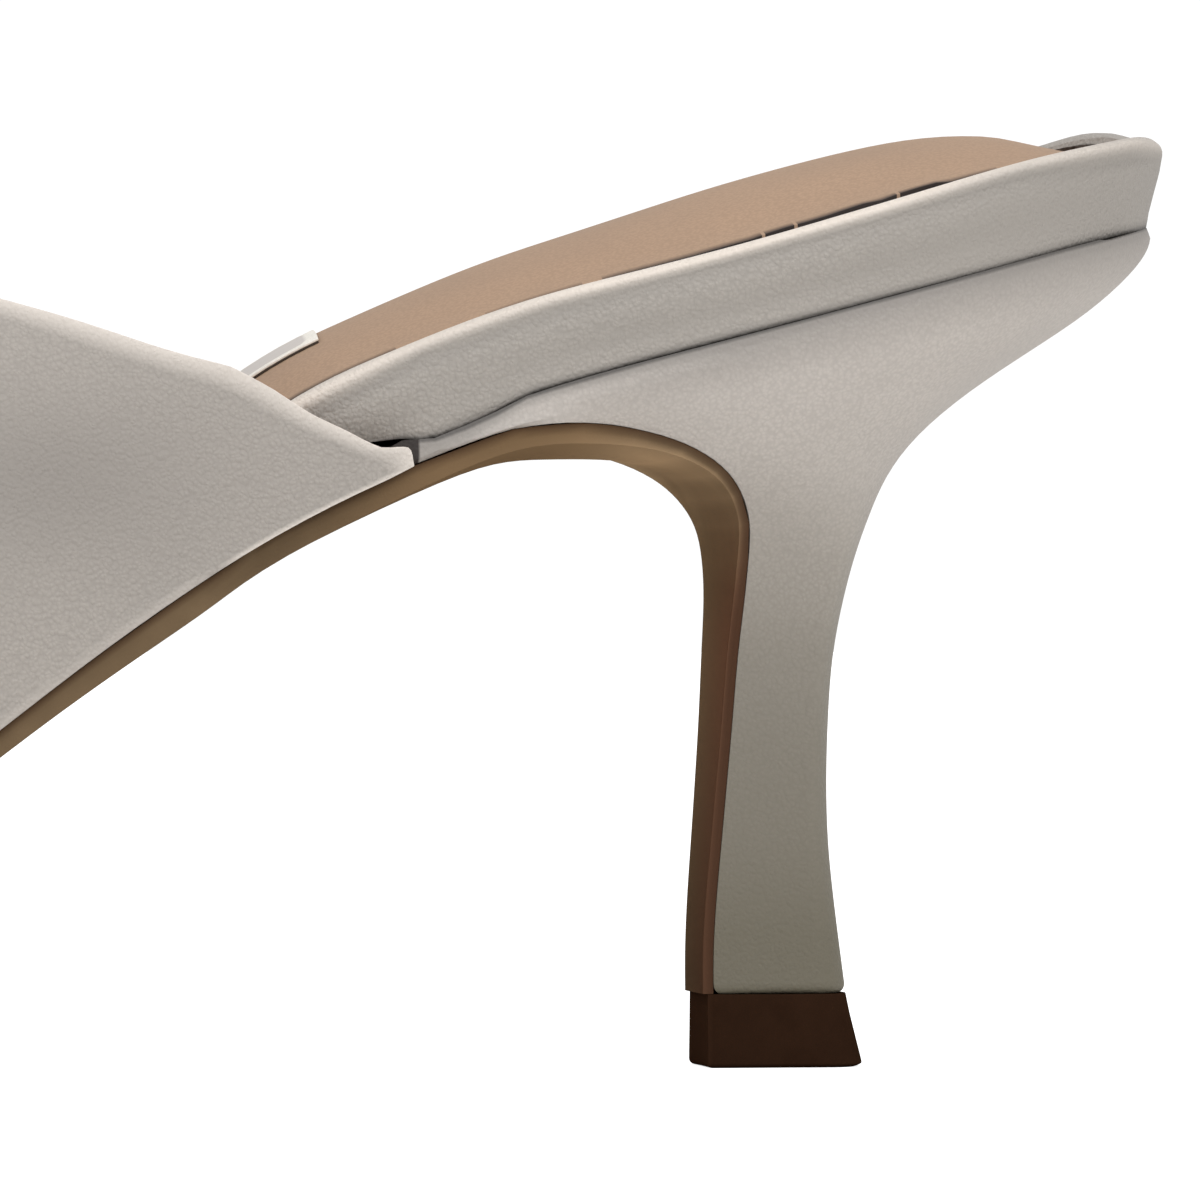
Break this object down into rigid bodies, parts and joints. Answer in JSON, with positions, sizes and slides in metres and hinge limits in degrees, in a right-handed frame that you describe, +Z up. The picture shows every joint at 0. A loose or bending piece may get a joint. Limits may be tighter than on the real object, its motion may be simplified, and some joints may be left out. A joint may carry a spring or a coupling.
{
  "type": "mule shoe",
  "caption": "Left backless high-heeled mule: closed vamp, wrapped footbed with padded sock, thin outsole that runs down the breast of a slender flared heel, small top piece.",
  "frame": {"origin": "on the floor, under the middle of the shoe's bounding box", "axes": "+Z up; +X from the toe towards the heel, along the shoe's length; +Y towards the inner (medial) side of this left shoe"},
  "size_m": [0.2382, 0.0794, 0.0788],
  "materials": {
    "upper_leather": "fine-grained greige leather, satin",
    "sole_leather": "smooth brown sole leather, semi-matt",
    "footbed_leather": "greige leather wrapped round the edge",
    "sock_leather": "tan lining leather, matt",
    "heel_cover": "greige leather stretched over the heel block",
    "top_piece_rubber": "dark brown, hard, matt"
  },
  "bodies": {
    "root": {"upper": "upper_leather", "outsole": "sole_leather", "footbed": "footbed_leather", "sock": "sock_leather", "heel": "heel_cover", "top_piece": "top_piece_rubber"}
  },
  "joints": []
}
